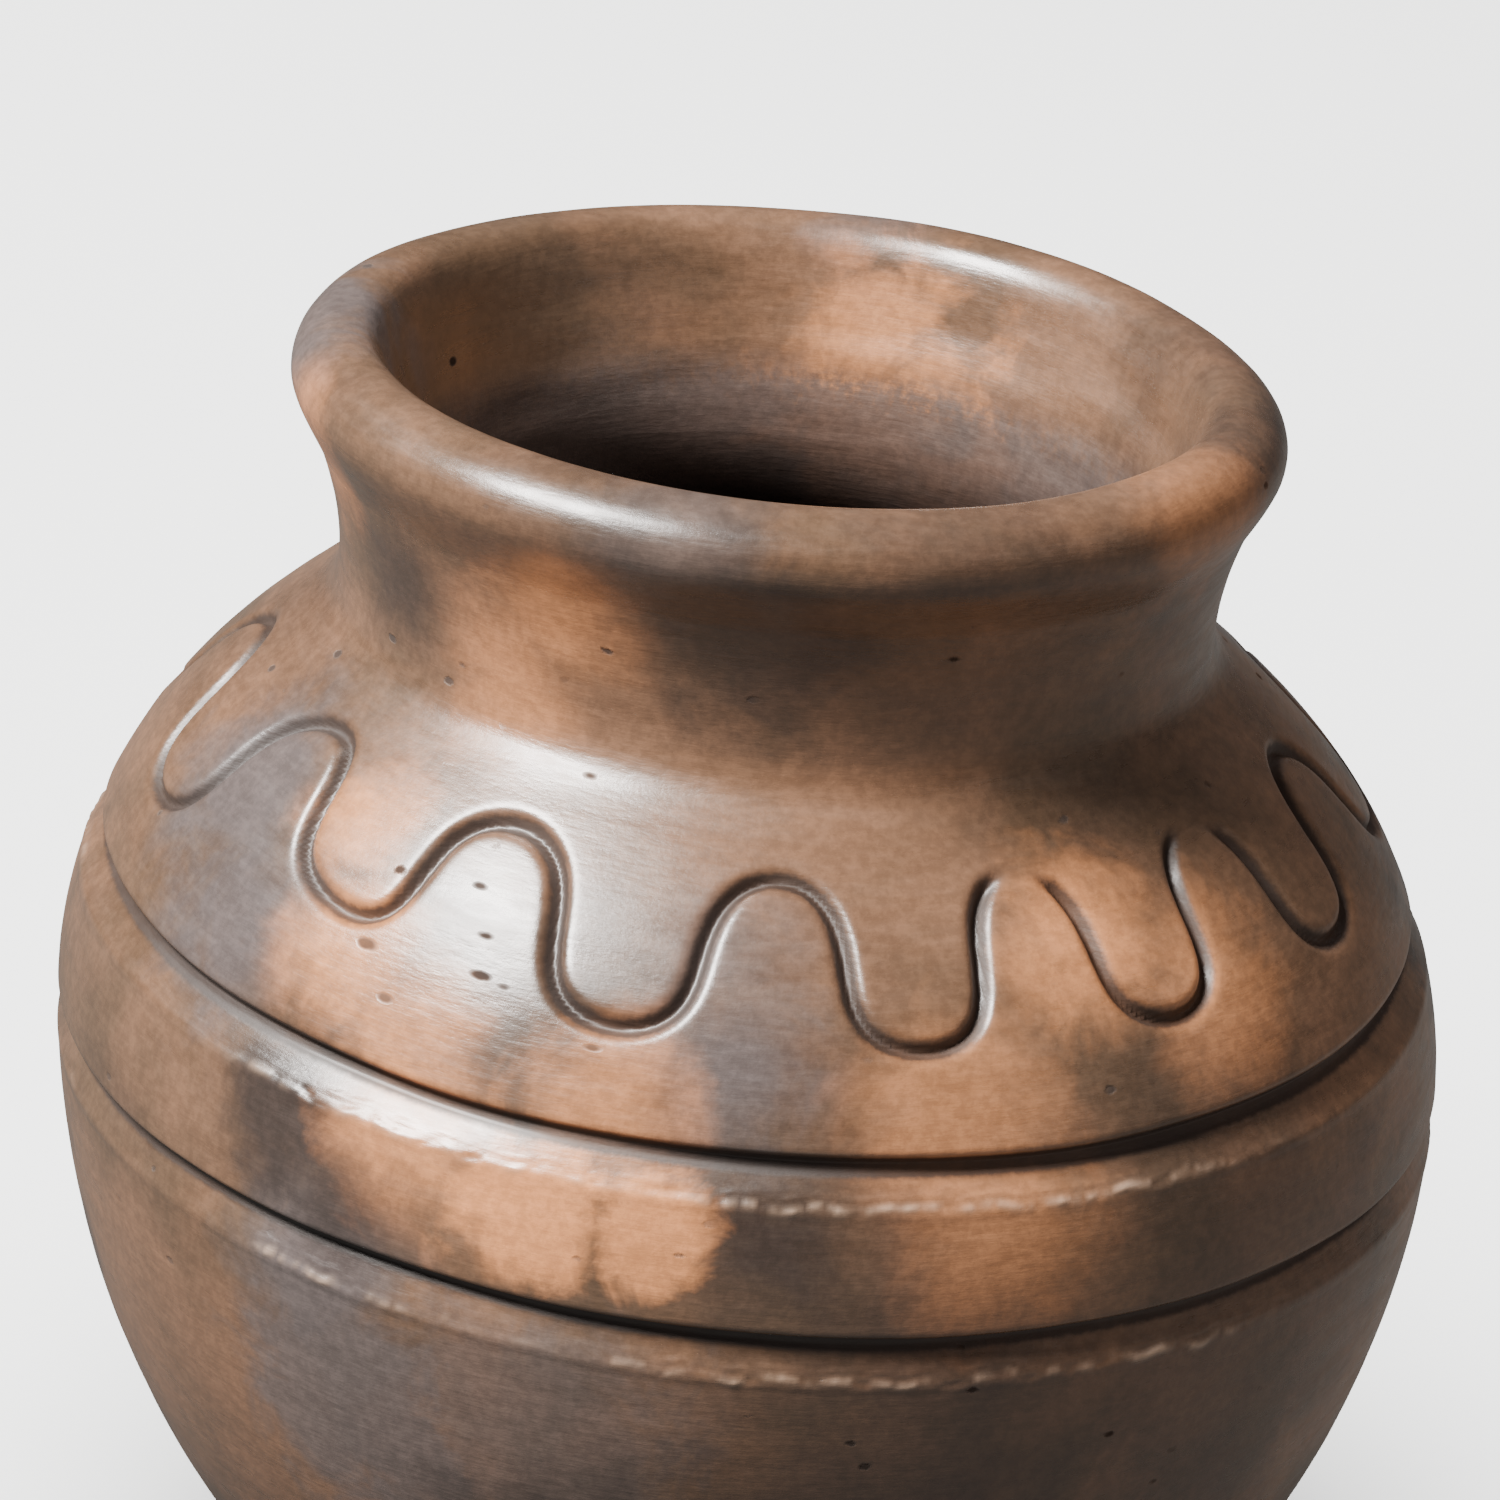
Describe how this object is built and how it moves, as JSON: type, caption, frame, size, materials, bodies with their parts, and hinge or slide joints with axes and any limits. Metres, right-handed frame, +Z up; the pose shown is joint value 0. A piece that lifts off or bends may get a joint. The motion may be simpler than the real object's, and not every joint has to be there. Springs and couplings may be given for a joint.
{
  "type": "lota water pot",
  "caption": "Round-bellied burnished clay water pot with a flared neck, rolled lip, ring grooves and an incised wavy line on the shoulder.",
  "frame": {"origin": "centre of the bounding box at the underside of the foot", "axes": "+Z up through the mouth; the centre line leans slightly towards -X as it rises; -Y is the front"},
  "size_m": [0.1501, 0.15, 0.1544],
  "materials": {
    "base_pad": "smoke-blackened scraped clay",
    "lower_bowl": "smoke-darkened burnished clay",
    "belly_band": "burnished clay",
    "shoulder": "burnished clay",
    "neck_collar": "burnished clay",
    "rim_coil": "burnished clay"
  },
  "bodies": {
    "root": {"base_pad": "base_pad", "lower_bowl": "lower_bowl", "belly_band": "belly_band", "shoulder": "shoulder", "neck_collar": "neck_collar", "rim_coil": "rim_coil"}
  },
  "joints": []
}
